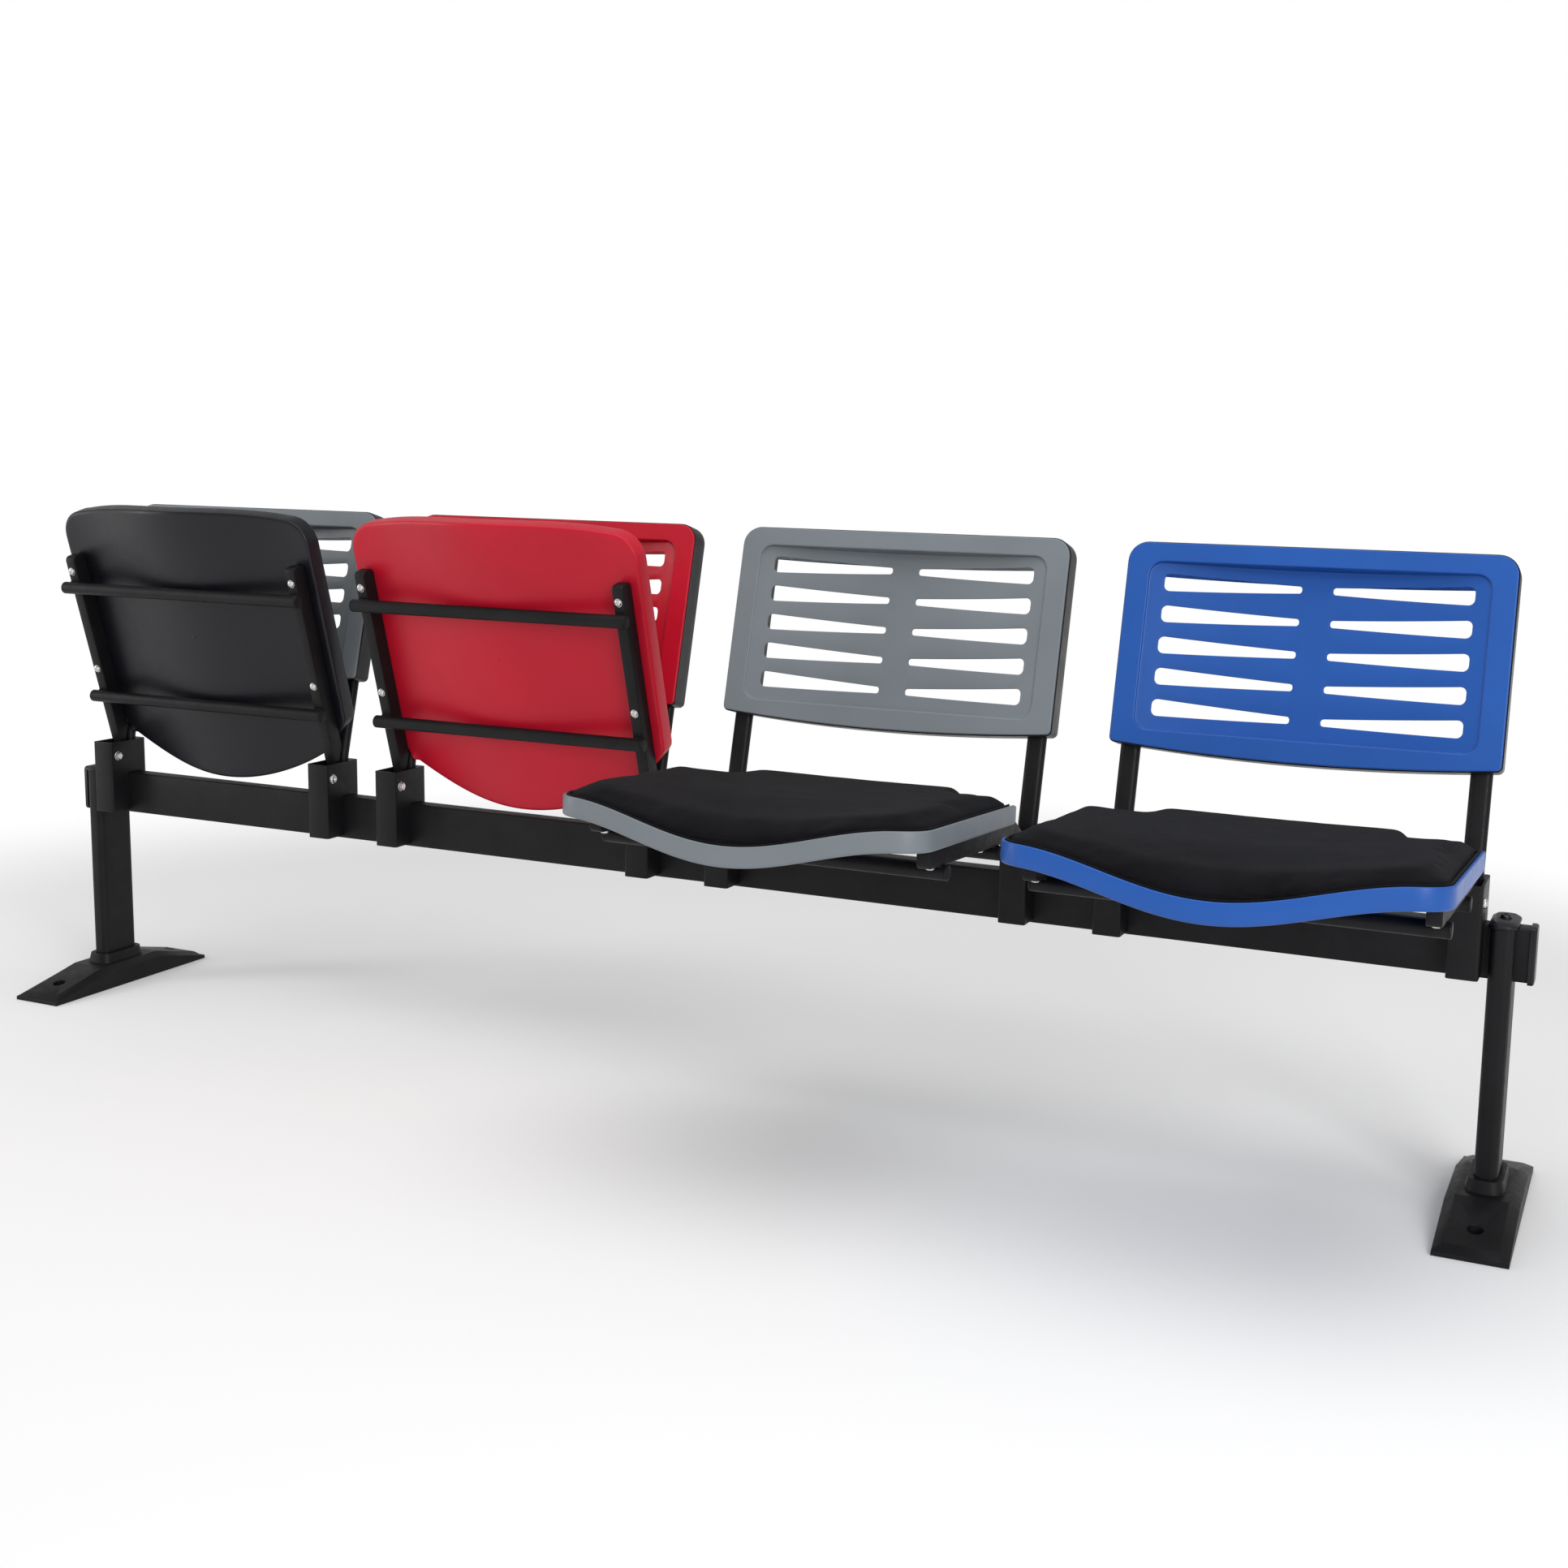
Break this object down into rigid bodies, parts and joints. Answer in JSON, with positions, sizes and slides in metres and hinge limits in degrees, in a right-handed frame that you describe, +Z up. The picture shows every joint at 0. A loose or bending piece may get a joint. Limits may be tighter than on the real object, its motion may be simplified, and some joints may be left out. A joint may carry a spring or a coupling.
{
  "type": "beam seating",
  "caption": "Beam seating: tip-up moulded seats, some with fabric pads, and slotted backrests clamped to one low rectangular beam on two floor-fixed posts.",
  "frame": {"origin": "middle of the bounding box in plan, on the floor", "axes": "+X along the beam to the sitter's left as seen from the front right, +Y from front to back, +Z up"},
  "size_m": [2.444, 0.6513, 0.8509],
  "materials": {
    "powder_coat": "satin black powder coat",
    "cast_black": "satin black coat on a casting",
    "black_plastic": "semi-gloss moulded",
    "grey_plastic": "semi-gloss moulded",
    "red_plastic": "semi-gloss moulded",
    "blue_plastic": "semi-gloss moulded",
    "black_fabric": "matte woven cover on foam",
    "board": "raw pressed board",
    "zinc_steel": "bright zinc plate",
    "black_bolt": "black zinc"
  },
  "bodies": {
    "frame": {"beam": "powder_coat", "beam_cap_left": "black_plastic", "post_left": "powder_coat", "post_cap_left": "black_plastic", "foot_left": "cast_black", "beam_cap_right": "black_plastic", "post_right": "powder_coat", "post_cap_right": "black_plastic", "foot_right": "cast_black", "post_bolts": "black_bolt", "foot_bolts": "black_bolt", "bridge_plates": "zinc_steel", "anchor_plates": "zinc_steel", "clamp_bolts": "black_bolt", "hinge_pins": "zinc_steel", "back_screws": "black_bolt", "clamp_1_left": "cast_black", "upright_1_left": "powder_coat", "clamp_1_right": "cast_black", "upright_1_right": "powder_coat", "back_panel_1": "grey_plastic", "back_shell_1": "black_plastic", "clamp_2_left": "cast_black", "upright_2_left": "powder_coat", "clamp_2_right": "cast_black", "upright_2_right": "powder_coat", "back_panel_2": "red_plastic", "back_shell_2": "black_plastic", "clamp_3_left": "cast_black", "upright_3_left": "powder_coat", "clamp_3_right": "cast_black", "upright_3_right": "powder_coat", "back_panel_3": "grey_plastic", "back_shell_3": "black_plastic", "clamp_4_left": "cast_black", "upright_4_left": "powder_coat", "clamp_4_right": "cast_black", "upright_4_right": "powder_coat", "back_panel_4": "blue_plastic", "back_shell_4": "black_plastic"},
    "seat_1": {"seat_shell_1": "black_plastic", "seat_frame_1": "powder_coat", "seat_bolts_1": "zinc_steel", "top_panel_1": "black_plastic"},
    "seat_2": {"seat_shell_2": "red_plastic", "seat_frame_2": "powder_coat", "seat_bolts_2": "zinc_steel", "top_panel_2": "red_plastic"},
    "seat_3": {"seat_shell_3": "grey_plastic", "seat_frame_3": "powder_coat", "seat_bolts_3": "zinc_steel", "pad_board_3": "board", "pad_3": "black_fabric"},
    "seat_4": {"seat_shell_4": "blue_plastic", "seat_frame_4": "powder_coat", "seat_bolts_4": "zinc_steel", "pad_board_4": "board", "pad_4": "black_fabric"}
  },
  "joints": [
    {"name": "seat_1_tip", "type": "hinge", "parent": "frame", "child": "seat_1", "pos_m": [-0.9, 0.11466, 0.414], "axis": [-1, 0, 0], "range_deg": [-71, 0]},
    {"name": "seat_2_tip", "type": "hinge", "parent": "frame", "child": "seat_2", "pos_m": [-0.3, 0.11466, 0.414], "axis": [-1, 0, 0], "range_deg": [-71, 0]},
    {"name": "seat_3_tip", "type": "hinge", "parent": "frame", "child": "seat_3", "pos_m": [0.3, 0.11466, 0.414], "axis": [-1, 0, 0], "range_deg": [0, 71]},
    {"name": "seat_4_tip", "type": "hinge", "parent": "frame", "child": "seat_4", "pos_m": [0.9, 0.11466, 0.414], "axis": [-1, 0, 0], "range_deg": [0, 71]}
  ]
}
